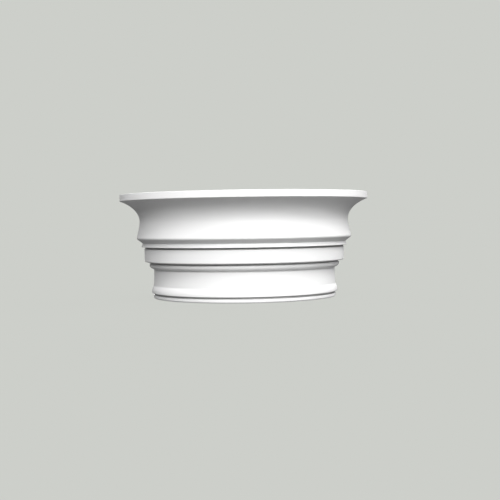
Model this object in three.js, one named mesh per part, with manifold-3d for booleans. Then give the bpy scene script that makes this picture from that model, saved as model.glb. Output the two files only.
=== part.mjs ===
import * as THREE from 'three';
import { mergeVertices } from 'three/addons/utils/BufferGeometryUtils.js';
import Module from 'manifold-3d';

// A plain moulded capital for a half column: one moulding profile turned through half a circle
// and cut off flat where it meets the wall. Millimetres, +Z up, the round front faces -Y,
// the underside lies on z = 0 and the wall face on y = +DEPTH / 2.

// Driving dimensions
const WIDTH = 370;
const HEIGHT = 154;
const RIM_RADIUS = WIDTH / 2;
const DEPTH = RIM_RADIUS;

// Foot with a rounded lower edge, and the quirk that parts it from the bead
const FOOT_RADIUS = 136.6;
const FOOT_HEIGHT = 5;
const FOOT_ROUNDING = 2;
const FOOT_QUIRK_RADIUS = 135;
const FOOT_QUIRK_HEIGHT = 3;

// Bead at the bottom of the neck: a low swelling over the quirk
const BEAD_LOW_RADIUS = 138.9;
const BEAD_TOP_Z = 19.2;
const BEAD_LOW_LEAN = THREE.MathUtils.degToRad(10);
const BEAD_TOP_LEAN = THREE.MathUtils.degToRad(-32);

// Neck, flaring a little to the bead, and the small ovolo over it
const NECK_LOW_RADIUS = 136.3;
const NECK_TOP_RADIUS = 135.6;
const NECK_TOP_Z = 43.1;
const OVOLO_TOP_RADIUS = 141.4;
const OVOLO_HEIGHT = 8.75;
const OVOLO_LOW_LEAN = THREE.MathUtils.degToRad(70);
const OVOLO_TOP_LEAN = THREE.MathUtils.degToRad(-30);

// Quirk under the band, then the plain band with a rounded lower edge
const BAND_QUIRK_RADIUS = 140.2;
const BAND_QUIRK_TOP_RADIUS = 142;
const BAND_QUIRK_HEIGHT = 1.95;
const BAND_LOW_RADIUS = 149.2;
const BAND_TOP_RADIUS = 149.6;
const BAND_HEIGHT = 20;
const BAND_ROUNDING_DEPTH = 5;
const BAND_ROUNDING_HEIGHT = 1.8;

// Groove over the band, and the listel over the groove
const GROOVE_RADIUS = 148.3;
const GROOVE_HEIGHT = 2.7;
const LISTEL_RADIUS = 154.1;
const LISTEL_TOP_RADIUS = 152;
const LISTEL_HEIGHT = 5.4;

// Belly: slanting underside, rounded lip, then a flare that narrows up to the throat
const BELLY_RADIUS = 160.6;
const BELLY_Z = 90.1;
const BELLY_LEAN = THREE.MathUtils.degToRad(14.5);
const LIP_ROUNDING = 3.5;
const LIP_LEAN = THREE.MathUtils.degToRad(52);

// Throat, and the wide hollow that carries the rim
const THROAT_RADIUS = 156;
const THROAT_Z = 114.2;
const HOLLOW_LOW_PULL = 15;
const HOLLOW_TOP_PULL = 14.6;
const HOLLOW_TOP_SLOPE = THREE.MathUtils.degToRad(18);
const RIM_HEIGHT = 9.5;

// Smoothness
const CURVE_STEP = 2.6;
const LEAST_STEPS = 4;
const HALF_TURN_STEPS = 54;
const WELD_DISTANCE = 1e-4;

// The upward direction, leaning outwards from upright
function leaning(lean) {
  return new THREE.Vector2(Math.sin(lean), Math.cos(lean));
}

// The point where two straight lines meet, each given by a point and a direction
function crossing(startA, directionA, startB, directionB) {
  const gap = startB.clone().sub(startA);
  const along = gap.cross(directionB) / directionA.cross(directionB);
  return startA.clone().addScaledVector(directionA, along);
}

// A curve from the end of the path to a new end, leaving and arriving at the given leans
function curveLeaning(path, end, startLean, endLean) {
  const middle = crossing(path.currentPoint, leaning(startLean), end, leaning(endLean));
  path.quadraticCurveTo(middle.x, middle.y, end.x, end.y);
}

// A lower edge rounded from the underside at bottomZ to the face at radius
function roundedEdge(path, radius, bottomZ, depth, height) {
  path.lineTo(radius - depth, bottomZ);
  path.absellipse(radius - depth, bottomZ + height, depth, height, -Math.PI / 2, 0, false);
}

// The moulding from the axis of the underside to the axis of the top, as radius and height
function mouldingPath() {
  const path = new THREE.Path();
  path.moveTo(0, 0);

  const beadZ = FOOT_HEIGHT + FOOT_QUIRK_HEIGHT;
  roundedEdge(path, FOOT_RADIUS, 0, FOOT_ROUNDING, FOOT_ROUNDING);
  path.lineTo(FOOT_RADIUS, FOOT_HEIGHT);
  path.lineTo(FOOT_QUIRK_RADIUS, FOOT_HEIGHT);
  path.lineTo(FOOT_QUIRK_RADIUS, beadZ);

  const neckThird = (NECK_TOP_Z - BEAD_TOP_Z) / 3;
  const neckMiddle = (NECK_LOW_RADIUS + NECK_TOP_RADIUS) / 2;
  path.lineTo(BEAD_LOW_RADIUS, beadZ);
  curveLeaning(path, new THREE.Vector2(NECK_LOW_RADIUS, BEAD_TOP_Z), BEAD_LOW_LEAN, BEAD_TOP_LEAN);
  path.bezierCurveTo(
    neckMiddle, BEAD_TOP_Z + neckThird,
    NECK_TOP_RADIUS, NECK_TOP_Z - neckThird,
    NECK_TOP_RADIUS, NECK_TOP_Z,
  );

  const bandQuirkZ = NECK_TOP_Z + OVOLO_HEIGHT;
  const bandZ = bandQuirkZ + BAND_QUIRK_HEIGHT;
  curveLeaning(path, new THREE.Vector2(OVOLO_TOP_RADIUS, bandQuirkZ), OVOLO_LOW_LEAN, OVOLO_TOP_LEAN);
  path.lineTo(BAND_QUIRK_RADIUS, bandQuirkZ);
  path.lineTo(BAND_QUIRK_TOP_RADIUS, bandZ);

  const grooveZ = bandZ + BAND_HEIGHT;
  roundedEdge(path, BAND_LOW_RADIUS, bandZ, BAND_ROUNDING_DEPTH, BAND_ROUNDING_HEIGHT);
  path.lineTo(BAND_TOP_RADIUS, grooveZ);
  path.lineTo(GROOVE_RADIUS, grooveZ);

  const listelZ = grooveZ + GROOVE_HEIGHT;
  const listelTopZ = listelZ + LISTEL_HEIGHT;
  path.lineTo(GROOVE_RADIUS, listelZ);
  path.lineTo(LISTEL_RADIUS, listelZ);
  path.lineTo(LISTEL_TOP_RADIUS, listelTopZ);

  const lipRadius = BELLY_RADIUS - LIP_ROUNDING;
  path.lineTo(lipRadius + LIP_ROUNDING * Math.cos(LIP_LEAN), BELLY_Z - LIP_ROUNDING * Math.sin(LIP_LEAN));
  path.absarc(lipRadius, BELLY_Z, LIP_ROUNDING, -LIP_LEAN, BELLY_LEAN, false);
  curveLeaning(path, new THREE.Vector2(THROAT_RADIUS, THROAT_Z), -BELLY_LEAN, 0);

  const rimZ = HEIGHT - RIM_HEIGHT;
  path.bezierCurveTo(
    THROAT_RADIUS, THROAT_Z + HOLLOW_LOW_PULL,
    RIM_RADIUS - HOLLOW_TOP_PULL * Math.cos(HOLLOW_TOP_SLOPE),
    rimZ - HOLLOW_TOP_PULL * Math.sin(HOLLOW_TOP_SLOPE),
    RIM_RADIUS, rimZ,
  );
  path.lineTo(RIM_RADIUS, HEIGHT);
  path.lineTo(0, HEIGHT);
  return path;
}

// The corners of a path: curved stretches in short even steps, straight ones by their ends
function cornersOf(path) {
  const corners = [path.curves[0].getPoint(0)];
  for (const curve of path.curves) {
    const fine = Math.max(LEAST_STEPS, Math.ceil(curve.getLength() / CURVE_STEP));
    const steps = curve.isLineCurve ? 1 : fine;
    for (let step = 1; step <= steps; step += 1) {
      corners.push(curve.getPoint(step / steps));
    }
  }
  return corners;
}

// Geometry to a solid for cutting, and back again
function solidOf(manifold, geometry) {
  const bare = new THREE.BufferGeometry();
  bare.setAttribute('position', geometry.getAttribute('position'));
  bare.setIndex(geometry.getIndex());
  const merged = mergeVertices(bare, WELD_DISTANCE);
  const mesh = new manifold.Mesh({
    numProp: 3,
    vertProperties: new Float32Array(merged.getAttribute('position').array),
    triVerts: new Uint32Array(merged.getIndex().array),
  });
  return new manifold.Manifold(mesh);
}

function geometryOf(solid) {
  const mesh = solid.getMesh();
  const geometry = new THREE.BufferGeometry();
  geometry.setAttribute('position', new THREE.BufferAttribute(mesh.vertProperties, mesh.numProp));
  geometry.setIndex(new THREE.BufferAttribute(mesh.triVerts, 1));
  return geometry;
}

const manifold = await Module();
manifold.setup();

// The whole round capital stands with its axis on the wall plane; a block takes away the rear half
const round = new THREE.LatheGeometry(cornersOf(mouldingPath()), 2 * HALF_TURN_STEPS);
round.rotateX(Math.PI / 2);
round.translate(0, DEPTH / 2, 0);

const rear = new THREE.BoxGeometry(2 * WIDTH, WIDTH, 2 * HEIGHT);
rear.translate(0, DEPTH / 2 + WIDTH / 2, HEIGHT / 2);

const half = solidOf(manifold, round).subtract(solidOf(manifold, rear));
const material = new THREE.MeshStandardMaterial({ color: 0xf2f1ec, roughness: 0.6 });
const capital = new THREE.Mesh(geometryOf(half), material);
capital.name = 'half_capital';

const group = new THREE.Group();
group.add(capital);

export default group;
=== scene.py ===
"""Looks of a plain moulded half column capital: white primed moulding, cut flat for the wall."""
import math

import bmesh
import bpy
from mathutils import Matrix, Vector


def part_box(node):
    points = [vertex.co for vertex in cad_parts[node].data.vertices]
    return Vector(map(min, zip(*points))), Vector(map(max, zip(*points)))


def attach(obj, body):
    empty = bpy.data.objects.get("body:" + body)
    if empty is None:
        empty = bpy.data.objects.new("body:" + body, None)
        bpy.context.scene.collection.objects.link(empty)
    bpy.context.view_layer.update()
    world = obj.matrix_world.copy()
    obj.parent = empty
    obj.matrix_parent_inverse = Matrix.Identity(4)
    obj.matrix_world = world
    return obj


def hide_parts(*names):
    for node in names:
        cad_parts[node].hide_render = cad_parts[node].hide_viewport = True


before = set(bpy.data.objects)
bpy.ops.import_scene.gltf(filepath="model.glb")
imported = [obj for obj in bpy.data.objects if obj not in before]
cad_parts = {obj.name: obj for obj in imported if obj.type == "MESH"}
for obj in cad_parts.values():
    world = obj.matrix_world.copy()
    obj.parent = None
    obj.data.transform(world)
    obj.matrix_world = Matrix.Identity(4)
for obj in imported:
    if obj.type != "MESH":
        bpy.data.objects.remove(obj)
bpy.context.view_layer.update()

# Sizes of the whole capital, from the frame, in metres
MM = 0.001
BODY_LOW, BODY_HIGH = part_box("half_capital")
RIM_RADIUS = (BODY_HIGH.x - BODY_LOW.x) / 2
HEIGHT = BODY_HIGH.z - BODY_LOW.z
WALL_Y = BODY_HIGH.y

# Foot, and the quirk that parts it from the bead
FOOT_RADIUS = 136.6 * MM
FOOT_HEIGHT = 5 * MM
FOOT_ROUNDING = 2 * MM
FOOT_QUIRK_RADIUS = 135 * MM
FOOT_QUIRK_HEIGHT = 3 * MM

# Bead at the bottom of the neck: a low swelling over the quirk
BEAD_LOW_RADIUS = 138.9 * MM
BEAD_TOP_Z = 19.2 * MM
BEAD_LOW_LEAN = math.radians(10)
BEAD_TOP_LEAN = math.radians(-32)
BEAD_ARRIS = 0.9 * MM

# Neck, and the small ovolo over it
NECK_LOW_RADIUS = 136.3 * MM
NECK_TOP_RADIUS = 135.6 * MM
NECK_TOP_Z = 43.1 * MM
OVOLO_TOP_RADIUS = 141.4 * MM
OVOLO_HEIGHT = 8.75 * MM
OVOLO_LOW_LEAN = math.radians(70)
OVOLO_TOP_LEAN = math.radians(-30)

# Quirk under the band, and the band with its rounded lower edge
BAND_QUIRK_RADIUS = 140.2 * MM
BAND_QUIRK_TOP_RADIUS = 142 * MM
BAND_QUIRK_HEIGHT = 1.95 * MM
BAND_LOW_RADIUS = 149.2 * MM
BAND_TOP_RADIUS = 149.6 * MM
BAND_HEIGHT = 20 * MM
BAND_ROUNDING_DEPTH = 5 * MM
BAND_ROUNDING_HEIGHT = 1.8 * MM

# Groove over the band, and the listel over the groove
GROOVE_RADIUS = 148.3 * MM
GROOVE_HEIGHT = 2.7 * MM
LISTEL_RADIUS = 154.1 * MM
LISTEL_TOP_RADIUS = 152 * MM
LISTEL_HEIGHT = 5.4 * MM
LISTEL_ROUNDING = 0.6 * MM

# Belly: slanting underside, rounded lip, then a flare that narrows up to the throat
BELLY_RADIUS = 160.6 * MM
BELLY_Z = 90.1 * MM
BELLY_LEAN = math.radians(14.5)
LIP_ROUNDING = 3.5 * MM
LIP_LEAN = math.radians(52)

# Throat, and the wide hollow that carries the rim
THROAT_RADIUS = 156 * MM
THROAT_Z = 114.2 * MM
HOLLOW_LOW_PULL = 15 * MM
HOLLOW_TOP_PULL = 14.6 * MM
HOLLOW_TOP_SLOPE = math.radians(18)
RIM_HEIGHT = 9.5 * MM

# Softened arrises of the cast, and how finely the piece is drawn
RIM_ARRIS = 0.4 * MM
FINE_ARRIS = 0.6 * MM
ARRIS_STEPS = 5
CURVE_STEP = 1.1 * MM
LEAST_CURVE_STEPS = 8
FACE_SUPPORT = 0.9 * MM
LEAST_SUPPORTED_FACE = 4 * FACE_SUPPORT
HALF_TURN_STEPS = 216
WELD_DISTANCE = 0.01 * MM
SHARP_ANGLE = math.radians(40)

# Painted shade in the recesses: colour darkened where shade falls, as the share of the painted shade's grey
FOOT_QUIRK_PAINTED_SHADE = 0.6
BAND_QUIRK_PAINTED_SHADE = 0.5
BAND_UNDERSIDE_PAINTED_SHADE = 0.3
GROOVE_PAINTED_SHADE = 0.75

# Skin of both finishes: noise for the peel, the finer grain, the slow tone and the patches of roughness
NOISE_ROUGHNESS = 0.55
NOISE_LOW = 0.3
NOISE_HIGH = 0.7
PEEL_DETAIL = 2
GRAIN_DETAIL = 1
TONE_DETAIL = 4
PATCH_DETAIL = 2
PATCHES_PER_TONE = 2.7
GRAIN_SHARE = 0.35

# Sprayed white primer, and the grey of the painted shade in its recesses
PRIMER_SKIN = {"Peel per metre": 520, "Grain per metre": 2600, "Tone per metre": 9}
PRIMER_COLOURS = ((0.862, 0.862, 0.859, 1), (0.884, 0.884, 0.882, 1))
PRIMER_ROUGHNESS = (0.50, 0.62)
PRIMER_BUMP = {"Distance": 0.04 * MM, "Strength": 0.6}
PRIMER_SHINE = 0.35
PAINTED_SHADE_COLOUR = (0.30, 0.30, 0.295, 1)

# Cut and sanded foam
FOAM_SKIN = {"Peel per metre": 260, "Grain per metre": 1500, "Tone per metre": 14}
FOAM_COLOURS = ((0.485, 0.46, 0.41, 1), (0.52, 0.495, 0.445, 1))
FOAM_ROUGHNESS = (0.74, 0.88)
FOAM_BUMP = {"Distance": 0.12 * MM, "Strength": 0.7}
FOAM_SHINE = 0.25

# Camera of the photograph: a 500 by 500 frame
FRAME_PIXELS = 500
FOCAL_PIXELS = 961.3
SENSOR_WIDTH = 36.0
CAMERA_DISTANCE = 1.450
CAMERA_HEIGHT = 0.1086
CAMERA_PITCH = math.radians(1.552)
CAMERA_YAW = math.radians(0.345)
CAMERA_ROLL = math.radians(-0.84)

# Studio: far lights as name, azimuth (0 is the front, positive to the right), elevation,
# strength and spread, all angles in degrees
STUDIO_LIGHTS = (
    ("front_soft", 15, 30, 2.5, 40),
    ("front_high", 15, 63, 2.0, 40),
    ("side_right", 110, 48, 1.4, 40),
    ("side_left", -110, 48, 0.65, 40),
    ("key_middle", 0, 26, 0.4, 7),
    ("key_left", -30, 29, 0.4, 7),
    ("rear_fill", 180, 15, 2.2, 10),
)
SURROUND_LIGHT = 0.16
BACKDROP_COLOUR = (0.610, 0.624, 0.591, 1)

# Floor: the share of its brightness that a shadow can take away, its gap and its reach
FLOOR_SHADE_SHARE = 0.04
FLOOR_GAP = 0.02 * MM
FLOOR_HALF_WIDTH = 200.0

# Places of the two colours and of the result on a Mix node
MIX_FIRST_COLOUR = 6
MIX_SECOND_COLOUR = 7
MIX_RESULT_COLOUR = 2

# Inputs of the tree that turns the outline
HALF_TURN_INPUTS = (
    ("Outline", "NodeSocketGeometry"),
    ("Half turn steps", "NodeSocketInt"),
    ("Wall plane", "NodeSocketFloat"),
    ("Height", "NodeSocketFloat"),
    ("Weld distance", "NodeSocketFloat"),
    ("Moulded face", "NodeSocketMaterial"),
    ("Cut face", "NodeSocketMaterial"),
)


class Outline:
    """Corners of the moulding as radius and height, with the arris and the share of painted shade at each."""

    def __init__(self):
        self.corners = []

    def corner(self, radius, height, arris=0.0, painted_shade=0.0):
        """A corner at the end of a straight stretch, rounded by its arris."""
        self.corners.append((Vector((radius, height)), arris, painted_shade))

    def soften_end(self, arris):
        """An arris at the corner that was drawn last."""
        corner, _, painted_shade = self.corners[-1]
        self.corners[-1] = (corner, arris, painted_shade)

    def curve(self, point_at, length):
        """A curved stretch; point_at runs from 0 to 1 and its start is already drawn."""
        steps = max(LEAST_CURVE_STEPS, math.ceil(length / CURVE_STEP))
        for step in range(1, steps + 1):
            self.corners.append((Vector(point_at(step / steps)), 0.0, 0.0))

    def ellipse(self, centre, radii, start, end):
        """Part of an ellipse, anticlockwise angles from the outward direction."""

        def point_at(share):
            angle = start + (end - start) * share
            return (
                centre[0] + radii[0] * math.cos(angle),
                centre[1] + radii[1] * math.sin(angle),
            )

        self.curve(point_at, abs(end - start) * max(radii))

    def bezier(self, *controls):
        """A Bezier curve of any degree from the last corner to the last of the controls."""
        points = [self.corners[-1][0].copy()] + [Vector(control) for control in controls]

        def point_at(share):
            level = points
            while len(level) > 1:
                level = [near.lerp(far, share) for near, far in zip(level, level[1:])]
            return level[0]

        length = sum((far - near).length for near, far in zip(points, points[1:]))
        self.curve(point_at, length)

    def leaning(self, end, start_lean, end_lean):
        """A curve to end that leaves and arrives at the given leans from upright."""
        start = self.corners[-1][0]
        middle = lines_cross(start, upright_leaning(start_lean), end, upright_leaning(end_lean))
        self.bezier(middle, end)

    def rounded(self):
        """The corners with each arris drawn as a short arc."""
        drawn = []
        for index, (corner, arris, painted_shade) in enumerate(self.corners):
            if not arris:
                drawn.append((corner, painted_shade))
                continue
            before = (self.corners[index - 1][0] - corner).normalized()
            after = (self.corners[index + 1][0] - corner).normalized()
            half_angle = before.angle(after) / 2
            reach = arris / math.tan(half_angle)
            start = corner + before * reach
            end = corner + after * reach
            centre = corner + (before + after).normalized() * arris / math.sin(half_angle)
            sweep = (end - centre).angle_signed(start - centre)
            steps = max(ARRIS_STEPS, math.ceil(abs(sweep) * arris / CURVE_STEP))
            for step in range(steps + 1):
                turn = Matrix.Rotation(sweep * step / steps, 2)
                drawn.append((centre + turn @ (start - centre), painted_shade))
        return drawn

    def supported(self):
        """The rounded corners with a point near both ends of each long straight stretch."""
        drawn = self.rounded()
        points = [drawn[0]]
        for (start, start_painted_shade), (end, end_painted_shade) in zip(drawn, drawn[1:]):
            along = end - start
            if along.length > LEAST_SUPPORTED_FACE:
                share = FACE_SUPPORT / along.length
                points.append((start.lerp(end, share), start_painted_shade))
                points.append((start.lerp(end, 1 - share), end_painted_shade))
            points.append((end, end_painted_shade))
        return points


def upright_leaning(lean):
    """The upward direction leaning outwards."""
    return Vector((math.sin(lean), math.cos(lean)))


def lines_cross(start_a, along_a, start_b, along_b):
    """Where two straight lines meet, each given by a point and a direction."""
    gap = start_b - start_a
    reach = (gap.x * along_b.y - gap.y * along_b.x) / (along_a.x * along_b.y - along_a.y * along_b.x)
    return start_a + along_a * reach


def capital_outline():
    """The moulding from the axis of the underside to the axis of the top."""
    outline = Outline()
    outline.corner(0, 0)
    bead_z = FOOT_HEIGHT + FOOT_QUIRK_HEIGHT
    outline.corner(FOOT_RADIUS, 0, FOOT_ROUNDING)
    outline.corner(FOOT_RADIUS, FOOT_HEIGHT, FINE_ARRIS)
    # The foot's quirk carries painted shade: its colour is darkened where shade falls
    outline.corner(FOOT_QUIRK_RADIUS, FOOT_HEIGHT, painted_shade=FOOT_QUIRK_PAINTED_SHADE)
    outline.corner(FOOT_QUIRK_RADIUS, bead_z, painted_shade=FOOT_QUIRK_PAINTED_SHADE)

    outline.corner(BEAD_LOW_RADIUS, bead_z, BEAD_ARRIS)
    outline.leaning(Vector((NECK_LOW_RADIUS, BEAD_TOP_Z)), BEAD_LOW_LEAN, BEAD_TOP_LEAN)

    neck_third = (NECK_TOP_Z - BEAD_TOP_Z) / 3
    neck_middle = (NECK_LOW_RADIUS + NECK_TOP_RADIUS) / 2
    outline.bezier(
        (neck_middle, BEAD_TOP_Z + neck_third),
        (NECK_TOP_RADIUS, NECK_TOP_Z - neck_third),
        (NECK_TOP_RADIUS, NECK_TOP_Z),
    )
    quirk_z = NECK_TOP_Z + OVOLO_HEIGHT
    outline.leaning(Vector((OVOLO_TOP_RADIUS, quirk_z)), OVOLO_LOW_LEAN, OVOLO_TOP_LEAN)

    band_z = quirk_z + BAND_QUIRK_HEIGHT
    groove_z = band_z + BAND_HEIGHT
    rounding_centre = (BAND_LOW_RADIUS - BAND_ROUNDING_DEPTH, band_z + BAND_ROUNDING_HEIGHT)
    # The band's quirk and underside carry painted shade: their colour is darkened where shade falls
    outline.corner(BAND_QUIRK_RADIUS, quirk_z, painted_shade=BAND_QUIRK_PAINTED_SHADE)
    outline.corner(BAND_QUIRK_TOP_RADIUS, band_z, painted_shade=BAND_QUIRK_PAINTED_SHADE)
    outline.corner(rounding_centre[0], band_z, painted_shade=BAND_UNDERSIDE_PAINTED_SHADE)
    outline.ellipse(rounding_centre, (BAND_ROUNDING_DEPTH, BAND_ROUNDING_HEIGHT), -math.pi / 2, 0)
    outline.corner(BAND_TOP_RADIUS, groove_z, FINE_ARRIS)
    # The groove carries painted shade: its colour is darkened where shade falls
    outline.corner(GROOVE_RADIUS, groove_z, painted_shade=GROOVE_PAINTED_SHADE)

    listel_z = groove_z + GROOVE_HEIGHT
    listel_top_z = listel_z + LISTEL_HEIGHT
    outline.corner(GROOVE_RADIUS, listel_z, painted_shade=GROOVE_PAINTED_SHADE)
    outline.corner(LISTEL_RADIUS, listel_z, LISTEL_ROUNDING)
    outline.corner(LISTEL_TOP_RADIUS, listel_top_z)

    lip_centre = Vector((BELLY_RADIUS - LIP_ROUNDING, BELLY_Z))
    lip_low = lip_centre + LIP_ROUNDING * Vector((math.cos(LIP_LEAN), -math.sin(LIP_LEAN)))
    outline.corner(*lip_low)
    outline.ellipse(lip_centre, (LIP_ROUNDING, LIP_ROUNDING), -LIP_LEAN, BELLY_LEAN)
    outline.leaning(Vector((THROAT_RADIUS, THROAT_Z)), -BELLY_LEAN, 0)

    rim_z = HEIGHT - RIM_HEIGHT
    outline.bezier(
        (THROAT_RADIUS, THROAT_Z + HOLLOW_LOW_PULL),
        (
            RIM_RADIUS - HOLLOW_TOP_PULL * math.cos(HOLLOW_TOP_SLOPE),
            rim_z - HOLLOW_TOP_PULL * math.sin(HOLLOW_TOP_SLOPE),
        ),
        (RIM_RADIUS, rim_z),
    )
    outline.soften_end(FINE_ARRIS)
    outline.corner(RIM_RADIUS, HEIGHT, RIM_ARRIS)
    outline.corner(0, HEIGHT)
    return outline.supported()


def add_object(name, data):
    """A new object in the scene."""
    made = bpy.data.objects.new(name, data)
    bpy.context.scene.collection.objects.link(made)
    return made


def add_node(tree, kind, inputs=None, **settings):
    """A node with its settings, and its inputs set by name or place to a value or an output."""
    made = tree.nodes.new(kind)
    for name, value in settings.items():
        setattr(made, name, value)
    for key, value in (inputs or {}).items():
        socket = made.inputs[key]
        if isinstance(value, bpy.types.NodeSocket):
            tree.links.new(value, socket)
        else:
            socket.default_value = value
    return made


def math_node(tree, operation, *values):
    """A Math node's output."""
    return add_node(tree, "ShaderNodeMath", dict(enumerate(values)), operation=operation).outputs[0]


def combined(tree, **parts):
    """A vector from its parts X, Y and Z."""
    return add_node(tree, "ShaderNodeCombineXYZ", parts).outputs[0]


def sampled(tree, geometry, value, place, data_type):
    """A value read from one point of a geometry."""
    made = add_node(
        tree, "GeometryNodeSampleIndex",
        {"Geometry": geometry, "Value": value, "Index": place},
        data_type=data_type, domain="POINT",
    )
    return made.outputs[0]


def moved(tree, geometry, place):
    """A geometry with its points set to their new places."""
    return add_node(tree, "GeometryNodeSetPosition", {"Geometry": geometry, "Position": place}).outputs[0]


def half_turn_tree():
    """Geometry Nodes: an outline of edges turned through half a circle and closed by a flat wall face."""
    tree = bpy.data.node_groups.new("outline turned through half a circle", "GeometryNodeTree")
    tree.is_modifier = True
    for name, kind in HALF_TURN_INPUTS:
        tree.interface.new_socket(name, in_out="INPUT", socket_type=kind)
    tree.interface.new_socket("Capital", in_out="OUTPUT", socket_type="NodeSocketGeometry")
    given = tree.nodes.new("NodeGroupInput").outputs

    # A grid with one row of vertices for each step of the turn
    size = add_node(tree, "GeometryNodeAttributeDomainSize", {"Geometry": given["Outline"]}, component="MESH")
    count = size.outputs["Point Count"]
    rows = math_node(tree, "ADD", given["Half turn steps"], 1)
    grid = add_node(tree, "GeometryNodeMeshGrid", {"Vertices X": rows, "Vertices Y": count})
    index = tree.nodes.new("GeometryNodeInputIndex").outputs[0]
    place = math_node(tree, "MODULO", index, count)
    turn = math_node(tree, "FLOOR", math_node(tree, "DIVIDE", index, count))
    angle = math_node(tree, "MULTIPLY", math_node(tree, "DIVIDE", turn, given["Half turn steps"]), math.pi)

    # Each vertex takes its radius, height and share of painted shade from the outline
    here = tree.nodes.new("GeometryNodeInputPosition").outputs[0]
    corner = sampled(tree, given["Outline"], here, place, "FLOAT_VECTOR")
    part = add_node(tree, "ShaderNodeSeparateXYZ", {0: corner}).outputs
    across = math_node(tree, "MULTIPLY", part["X"], math_node(tree, "COSINE", angle))
    forward = math_node(tree, "MULTIPLY", part["X"], math_node(tree, "SINE", angle))
    depth = math_node(tree, "SUBTRACT", given["Wall plane"], forward)
    # The share of painted shade, the darkening of the recesses, is read from the outline for every vertex
    painted_shade = add_node(tree, "GeometryNodeInputNamedAttribute", {"Name": "painted_shade"}, data_type="FLOAT")
    corner_painted_shade = sampled(tree, given["Outline"], painted_shade.outputs[0], place, "FLOAT")
    painted_shade_grid = add_node(
        tree, "GeometryNodeStoreNamedAttribute",
        {"Geometry": grid.outputs["Mesh"], "Name": "painted_shade", "Value": corner_painted_shade},
        data_type="FLOAT", domain="POINT",
    )
    shell = moved(tree, painted_shade_grid.outputs[0], combined(tree, X=across, Y=depth, Z=part["Z"]))

    # The wall face: the outline filled, once for each side of the axis
    flat = add_node(tree, "ShaderNodeSeparateXYZ", {0: here}).outputs
    drawn = moved(tree, given["Outline"], combined(tree, X=flat["X"], Y=flat["Z"]))
    line = add_node(tree, "GeometryNodeMeshToCurve", {"Mesh": drawn})
    loop = add_node(tree, "GeometryNodeSetSplineCyclic", {"Geometry": line.outputs[0], "Cyclic": True})
    filled = add_node(tree, "GeometryNodeFillCurve", {"Curve": loop.outputs[0]})
    joined = tree.nodes.new("GeometryNodeJoinGeometry")
    for side in (1, -1):
        flip = math_node(tree, "MULTIPLY", flat["X"], side)
        stood = combined(tree, X=flip, Y=given["Wall plane"], Z=flat["Y"])
        tree.links.new(moved(tree, filled.outputs[0], stood), joined.inputs[0])
    tree.links.new(shell, joined.inputs[0])
    welded = add_node(
        tree, "GeometryNodeMergeByDistance",
        {"Geometry": joined.outputs[0], "Distance": given["Weld distance"]},
    )
    real = add_node(tree, "GeometryNodeRealizeInstances", {"Geometry": welded.outputs[0]})

    # Faces that lie in the underside, the top or the wall plane are cut, the others moulded
    high = math_node(tree, "SUBTRACT", given["Height"], given["Weld distance"])
    rear = math_node(tree, "SUBTRACT", given["Wall plane"], given["Weld distance"])
    beds = math_node(
        tree, "MAXIMUM",
        math_node(tree, "LESS_THAN", flat["Z"], given["Weld distance"]),
        math_node(tree, "GREATER_THAN", flat["Z"], high),
    )
    cut = math_node(tree, "MAXIMUM", beds, math_node(tree, "GREATER_THAN", flat["Y"], rear))
    moulded = add_node(
        tree, "GeometryNodeSetMaterial",
        {"Geometry": real.outputs[0], "Material": given["Moulded face"]},
    )
    finished = add_node(
        tree, "GeometryNodeSetMaterial",
        {"Geometry": moulded.outputs[0], "Selection": cut, "Material": given["Cut face"]},
    )
    result = tree.nodes.new("NodeGroupOutput")
    tree.links.new(finished.outputs[0], result.inputs["Capital"])
    return tree


def set_inputs(modifier, values):
    """A modifier's inputs, found by their sockets' names and set by their identifiers."""
    for item in modifier.node_group.interface.items_tree:
        if item.item_type == "SOCKET" and item.in_out == "INPUT" and item.name in values:
            modifier[item.identifier] = values[item.name]


def capital_piece(moulded_face, cut_face):
    """The whole capital as one plain closed mesh."""
    points = capital_outline()
    mesh = bpy.data.meshes.new("capital_outline")
    edges = [(index, index + 1) for index in range(len(points) - 1)]
    mesh.from_pydata([(corner.x, 0, corner.y) for corner, _ in points], edges, [])
    painted_shade = mesh.attributes.new("painted_shade", "FLOAT", "POINT")
    painted_shade.data.foreach_set("value", [share for _, share in points])
    outline = add_object("capital_outline", mesh)

    modifier = outline.modifiers.new("half turn", "NODES")
    modifier.node_group = half_turn_tree()
    set_inputs(modifier, {
        "Half turn steps": HALF_TURN_STEPS,
        "Wall plane": WALL_Y,
        "Height": HEIGHT,
        "Weld distance": WELD_DISTANCE,
        "Moulded face": moulded_face,
        "Cut face": cut_face,
    })
    evaluated = outline.evaluated_get(bpy.context.evaluated_depsgraph_get())
    turned = bpy.data.meshes.new_from_object(evaluated)
    bpy.data.objects.remove(outline)

    work = bmesh.new()
    work.from_mesh(turned)
    bmesh.ops.remove_doubles(work, verts=work.verts, dist=WELD_DISTANCE)
    bmesh.ops.recalc_face_normals(work, faces=work.faces)
    for polygon in work.faces:
        polygon.smooth = True
    work.to_mesh(turned)
    work.free()
    turned.set_sharp_from_angle(angle=SHARP_ANGLE)
    return add_object("capital", turned)


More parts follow.
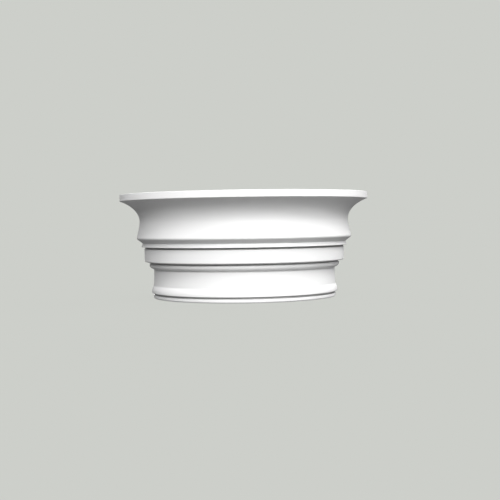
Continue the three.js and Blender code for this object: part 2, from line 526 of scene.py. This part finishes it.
def grain_group():
    """Shader group: fine skin of a sprayed or sanded surface, and slow changes of tone and roughness."""
    group = bpy.data.node_groups.new("surface grain", "ShaderNodeTree")
    for name in ("Peel per metre", "Grain per metre", "Tone per metre"):
        group.interface.new_socket(name, in_out="INPUT", socket_type="NodeSocketFloat")
    for name in ("Height", "Tone", "Patch"):
        group.interface.new_socket(name, in_out="OUTPUT", socket_type="NodeSocketFloat")
    given = group.nodes.new("NodeGroupInput").outputs
    place = group.nodes.new("ShaderNodeTexCoord").outputs["Object"]

    def noise(scale, detail):
        made = add_node(
            group, "ShaderNodeTexNoise",
            {"Vector": place, "Scale": scale, "Detail": detail, "Roughness": NOISE_ROUGHNESS},
        )
        return made.outputs[0]

    peel = noise(given["Peel per metre"], PEEL_DETAIL)
    grain = noise(given["Grain per metre"], GRAIN_DETAIL)
    tone = noise(given["Tone per metre"], TONE_DETAIL)
    patch = noise(math_node(group, "MULTIPLY", given["Tone per metre"], PATCHES_PER_TONE), PATCH_DETAIL)
    height = math_node(group, "ADD", peel, math_node(group, "MULTIPLY", grain, GRAIN_SHARE))
    result = group.nodes.new("NodeGroupOutput").inputs
    group.links.new(height, result["Height"])
    group.links.new(tone, result["Tone"])
    group.links.new(patch, result["Patch"])
    return group


def stretched(tree, noise, low, high):
    """The middle range of a noise stretched from low to high."""
    made = add_node(
        tree, "ShaderNodeMapRange",
        {"Value": noise, "From Min": NOISE_LOW, "From Max": NOISE_HIGH, "To Min": low, "To Max": high},
    )
    return made.outputs[0]


def mixed(tree, share, first, second):
    """A colour between two."""
    made = add_node(
        tree, "ShaderNodeMix",
        {"Factor": share, MIX_FIRST_COLOUR: first, MIX_SECOND_COLOUR: second},
        data_type="RGBA",
    )
    return made.outputs[MIX_RESULT_COLOUR]


def skinned_material(name, grain, skin, roughness, bump, shine):
    """A material with its skin, roughness and shine, then its shader and the slow tone for its colour."""
    material = bpy.data.materials.new(name)
    material.use_nodes = True
    tree = material.node_tree
    shader = tree.nodes["Principled BSDF"]
    shader.inputs["Specular IOR Level"].default_value = shine
    surface = add_node(tree, "ShaderNodeGroup", skin, node_tree=grain).outputs
    tone = stretched(tree, surface["Tone"], 0, 1)
    rough = stretched(tree, surface["Patch"], *roughness)
    tree.links.new(rough, shader.inputs["Roughness"])
    relief = add_node(tree, "ShaderNodeBump", {"Height": surface["Height"], **bump})
    tree.links.new(relief.outputs[0], shader.inputs["Normal"])
    return material, shader, tone


def primed_white(grain):
    """Sprayed white primer: faint orange peel, slow changes of tone, and painted shade darkening the
    recesses.
    """
    material, shader, tone = skinned_material(
        "primed_white", grain, PRIMER_SKIN, PRIMER_ROUGHNESS, PRIMER_BUMP, PRIMER_SHINE,
    )
    tree = material.node_tree
    white = mixed(tree, tone, *PRIMER_COLOURS)
    painted_shade = add_node(tree, "ShaderNodeAttribute", attribute_name="painted_shade").outputs["Fac"]
    # Painted shade: the primer is darkened towards a grey in the recesses, by each vertex's share
    tree.links.new(mixed(tree, painted_shade, white, PAINTED_SHADE_COLOUR), shader.inputs["Base Color"])
    return material


def cut_foam(grain):
    """Flat cut and sanded faces: matt bare foam, darker and warmer than the primer, with fine pores."""
    material, shader, tone = skinned_material(
        "cut_foam", grain, FOAM_SKIN, FOAM_ROUGHNESS, FOAM_BUMP, FOAM_SHINE,
    )
    tree = material.node_tree
    tree.links.new(mixed(tree, tone, *FOAM_COLOURS), shader.inputs["Base Color"])
    return material


def studio_camera():
    """The photograph's camera: a little below the throat, with a small lean."""
    lens = bpy.data.cameras.new("photo_camera")
    lens.sensor_width = SENSOR_WIDTH
    lens.lens = SENSOR_WIDTH * FOCAL_PIXELS / FRAME_PIXELS
    camera = add_object("photo_camera", lens)
    place = Matrix.Translation((0, WALL_Y - CAMERA_DISTANCE, CAMERA_HEIGHT))
    yaw = Matrix.Rotation(-CAMERA_YAW, 4, "Z")
    pitch = Matrix.Rotation(math.pi / 2 - CAMERA_PITCH, 4, "X")
    roll = Matrix.Rotation(CAMERA_ROLL, 4, "Z")
    camera.matrix_world = place @ yaw @ pitch @ roll
    bpy.context.scene.camera = camera


def studio_sun(name, azimuth, elevation, strength, spread):
    """A soft light from far away; azimuth 0 is the front, positive to the right."""
    light = bpy.data.lights.new(name, "SUN")
    light.energy = strength
    light.angle = math.radians(spread)
    lamp = add_object(name, light)
    around = math.radians(azimuth)
    rise = math.radians(elevation)
    towards = Vector((
        math.sin(around) * math.cos(rise),
        -math.cos(around) * math.cos(rise),
        math.sin(rise),
    ))
    lamp.rotation_mode = "QUATERNION"
    lamp.rotation_quaternion = towards.to_track_quat("Z", "Y")


def studio_world():
    """An even dim surround that looks plain pale grey to the camera."""
    world = bpy.data.worlds.new("studio")
    bpy.context.scene.world = world
    world.use_nodes = True
    tree = world.node_tree
    shader = tree.nodes["Background"]
    light = (SURROUND_LIGHT, SURROUND_LIGHT, SURROUND_LIGHT, 1)
    seen = tree.nodes.new("ShaderNodeLightPath").outputs["Is Camera Ray"]
    shown = mixed(tree, seen, light, BACKDROP_COLOUR)
    tree.links.new(shown, shader.inputs["Color"])


def floor_light():
    """How bright a white floor would look under the studio lights."""
    direct = 0
    for _, _, elevation, strength, _ in STUDIO_LIGHTS:
        direct += strength * max(0, math.sin(math.radians(elevation)))
    return direct / math.pi + SURROUND_LIGHT


def studio_floor():
    """A plain pale floor, as bright as the backdrop, that takes a faint shadow and is clear from below."""
    half = FLOOR_HALF_WIDTH
    mesh = bpy.data.meshes.new("studio_floor")
    corners = [(-half, -half, 0), (half, -half, 0), (half, half, 0), (-half, half, 0)]
    mesh.from_pydata(corners, [], [(0, 1, 2, 3)])
    floor = add_object("studio_floor", mesh)
    floor.location.z = BODY_LOW.z - FLOOR_GAP
    material = bpy.data.materials.new("studio_floor")
    material.use_nodes = True
    tree = material.node_tree
    tree.nodes.clear()
    reflected = [channel * FLOOR_SHADE_SHARE / floor_light() for channel in BACKDROP_COLOUR[:3]]
    glow = add_node(tree, "ShaderNodeEmission", {"Color": BACKDROP_COLOUR, "Strength": 1 - FLOOR_SHADE_SHARE})
    matt = add_node(tree, "ShaderNodeBsdfDiffuse", {"Color": (*reflected, 1)})
    both = add_node(tree, "ShaderNodeAddShader", {0: glow.outputs[0], 1: matt.outputs[0]})
    clear = tree.nodes.new("ShaderNodeBsdfTransparent")
    rear = tree.nodes.new("ShaderNodeNewGeometry").outputs["Backfacing"]
    mix = add_node(tree, "ShaderNodeMixShader", {0: rear, 1: both.outputs[0], 2: clear.outputs[0]})
    out = tree.nodes.new("ShaderNodeOutputMaterial")
    tree.links.new(mix.outputs[0], out.inputs["Surface"])
    mesh.materials.append(material)
    floor.visible_diffuse = False
    floor.visible_glossy = False
    floor.visible_shadow = False


grain = grain_group()
capital = capital_piece(primed_white(grain), cut_foam(grain))
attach(capital, "root")
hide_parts("half_capital")

studio_camera()
studio_world()
studio_floor()
for light in STUDIO_LIGHTS:
    studio_sun(*light)
bpy.context.scene.view_settings.view_transform = "Standard"
